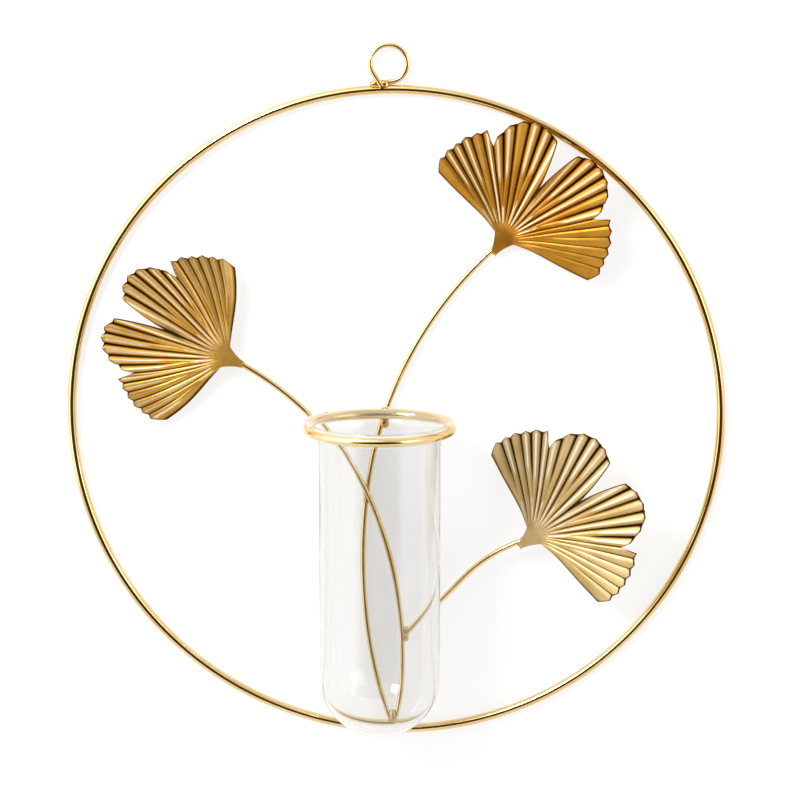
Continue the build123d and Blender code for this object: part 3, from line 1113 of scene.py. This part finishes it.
glass_axis = (glass_low + glass_high) / 2
glass_mesh = turn_section("glass_tube_blown", glass_section, glass_axis)
rim = glass_mesh.attributes.new("rim", "FLOAT", "POINT")
for vertex, value in zip(glass_mesh.vertices, rim.data):
    value.value = max(0.0, 1.0 - abs(vertex.index // turn_steps - rim_ring) / rim_fade)
glass_mesh.materials.append(clear_glass)
place_piece("glass_tube_blown", glass_mesh, "glass_tube", "glass")

# %% [markdown]
# ## Wall and floor
# The vase hangs on a white wall that only keeps a faint shadow. Most of its white is its own glow, seen by
# the camera and in reflections and glass; the rest is lit paint, and that is the part a shadow can darken.
# Seen from behind, the wall is left clear, so that the back of the vase can be looked at. A plain pale floor
# lies far below, where only the polished metal sees it.

# %% Wall and floor materials
wall_glow = 0.74
wall_paint = (0.3, 0.297, 0.29, 1)
floor_paint = (0.8, 0.79, 0.77, 1)
floor_roughness = 0.7


def make_wall_material():
    """White paint with a glow of its own on the room side, and nothing on the other."""
    material, tree, shader = new_material("white_wall")
    tree.nodes.remove(shader)
    ways = add_node(tree, "ShaderNodeLightPath").outputs
    mirrored = combine(tree, "MAXIMUM", ways["Is Glossy Ray"], ways["Is Transmission Ray"])
    seen = combine(tree, "MAXIMUM", ways["Is Camera Ray"], mirrored)
    strength = combine(tree, "MULTIPLY", seen, wall_glow)
    glow = add_node(tree, "ShaderNodeEmission", {"Strength": strength}).outputs[0]
    paint = add_node(tree, "ShaderNodeBsdfDiffuse", {"Color": wall_paint}).outputs[0]
    front = add_node(tree, "ShaderNodeAddShader", {0: glow, 1: paint}).outputs[0]
    behind = add_node(tree, "ShaderNodeNewGeometry").outputs["Backfacing"]
    clear = add_node(tree, "ShaderNodeBsdfTransparent").outputs[0]
    sides = add_node(tree, "ShaderNodeMixShader", {0: behind, 1: front, 2: clear}).outputs[0]
    fill(tree, tree.nodes["Material Output"], {"Surface": sides})
    return material


def make_floor_material():
    """Plain pale paint."""
    material, tree, shader = new_material("pale_floor")
    fill(tree, shader, {"Base Color": floor_paint, "Roughness": floor_roughness})
    return material


white_wall = make_wall_material()
pale_floor = make_floor_material()
print("room materials:", white_wall.name, pale_floor.name)

# %% Wall and floor
room_half = 3.0
floor_z = -1.5
floor_y = -2.5
wall_gap = 0.5 * mm
wall_y = cad_box[1].y + wall_gap


def make_panel(name, corners, material):
    """A flat panel of the room, kept off the object itself."""
    mesh = bpy.data.meshes.new(name)
    mesh.from_pydata(corners, [], [(0, 1, 2, 3)])
    mesh.materials.append(material)
    new_object(name, mesh)


wall_low = [(-room_half, wall_y, floor_z), (room_half, wall_y, floor_z)]
wall_high = [(room_half, wall_y, room_half), (-room_half, wall_y, room_half)]
floor_front = [(-room_half, floor_y, floor_z), (room_half, floor_y, floor_z)]
make_panel("wall", wall_low + wall_high, white_wall)
make_panel("floor", floor_front + list(reversed(wall_low)), pale_floor)
print("wall stands", round((wall_y - hoop_high.y) / mm, 2), "mm behind the hoop")

# %% [markdown]
# ## Light
# Polished metal shows its surroundings. The room has a bright window to the left, a weaker one to the right
# and a pale ceiling. In front, where the camera stands, it is a dark warm brown, and that gives each wire its
# dark middle line. An image of a room could light the object too, but four soft patches are easier to place.
# One large soft lamp from the upper left makes the highlights and the shadow, and a weaker one from the right
# fills in.

# %% Room
white = (1, 1, 1, 1)
dark_brown = (0.07, 0.04, 0.015, 1)
through_glass = 0.8
# direction of each patch of the room, where facing it starts and ends, and its strength outside and inside
room_patches = {
    "window": ((-0.75, -0.55, 0.36), (0.45, 0.85), (0.0, 1.5)),
    "far window": ((0.9, -0.4, 0.0), (0.6, 0.9), (0.0, 0.5)),
    "ceiling": ((0, 0, 1), (0.2, 0.8), (0.58, 0.82)),
    "front": ((0.0, -0.98, -0.18), (0.70, 0.83), unit),
}


def make_room():
    """White to the camera; for the object a window on each side, a pale ceiling and a dark front."""
    world = bpy.data.worlds.new("room")
    world.use_nodes = True
    tree = world.node_tree
    ways = add_node(tree, "ShaderNodeLightPath").outputs
    direction = add_node(tree, "ShaderNodeTexCoord").outputs["Generated"]
    patches = {}
    for name, (toward, fade, strength) in room_patches.items():
        patches[name] = remap(tree, facing(tree, direction, toward), fade, strength)
    windows = combine(tree, "ADD", patches["window"], patches["far window"])
    pale = combine(tree, "ADD", windows, patches["ceiling"])
    lit = mix(tree, "FLOAT", ways["Is Transmission Ray"], pale, through_glass)
    colour = mix(tree, "RGBA", patches["front"], white, dark_brown)
    shown = mix(tree, "RGBA", ways["Is Camera Ray"], colour, white)
    strength = mix(tree, "FLOAT", ways["Is Camera Ray"], lit, 1.0)
    fill(tree, tree.nodes["Background"], {"Color": shown, "Strength": strength})
    bpy.context.scene.world = world


make_room()
print("room has", list(room_patches))

# %% Lamps
# place and size in metres, and power in watts
lamps = {
    "key_lamp": ((-1.0, -1.5, 1.0), 0.6, 24),
    "fill_lamp": ((1.5, -1.2, 0.2), 1.0, 5),
}


def make_lamp(name, place, size, power):
    """A square soft lamp aimed at the hoop."""
    data = bpy.data.lights.new(name, "AREA")
    data.size = size
    data.energy = power
    lamp = bpy.data.objects.new(name, data)
    lamp.location = place
    lamp.rotation_mode = "QUATERNION"
    lamp.rotation_quaternion = (hoop_centre - Vector(place)).to_track_quat("-Z", "Y")
    bpy.context.scene.collection.objects.link(lamp)
    print(name, "gives", power, "W")


for name, (place, size, power) in lamps.items():
    make_lamp(name, place, size, power)
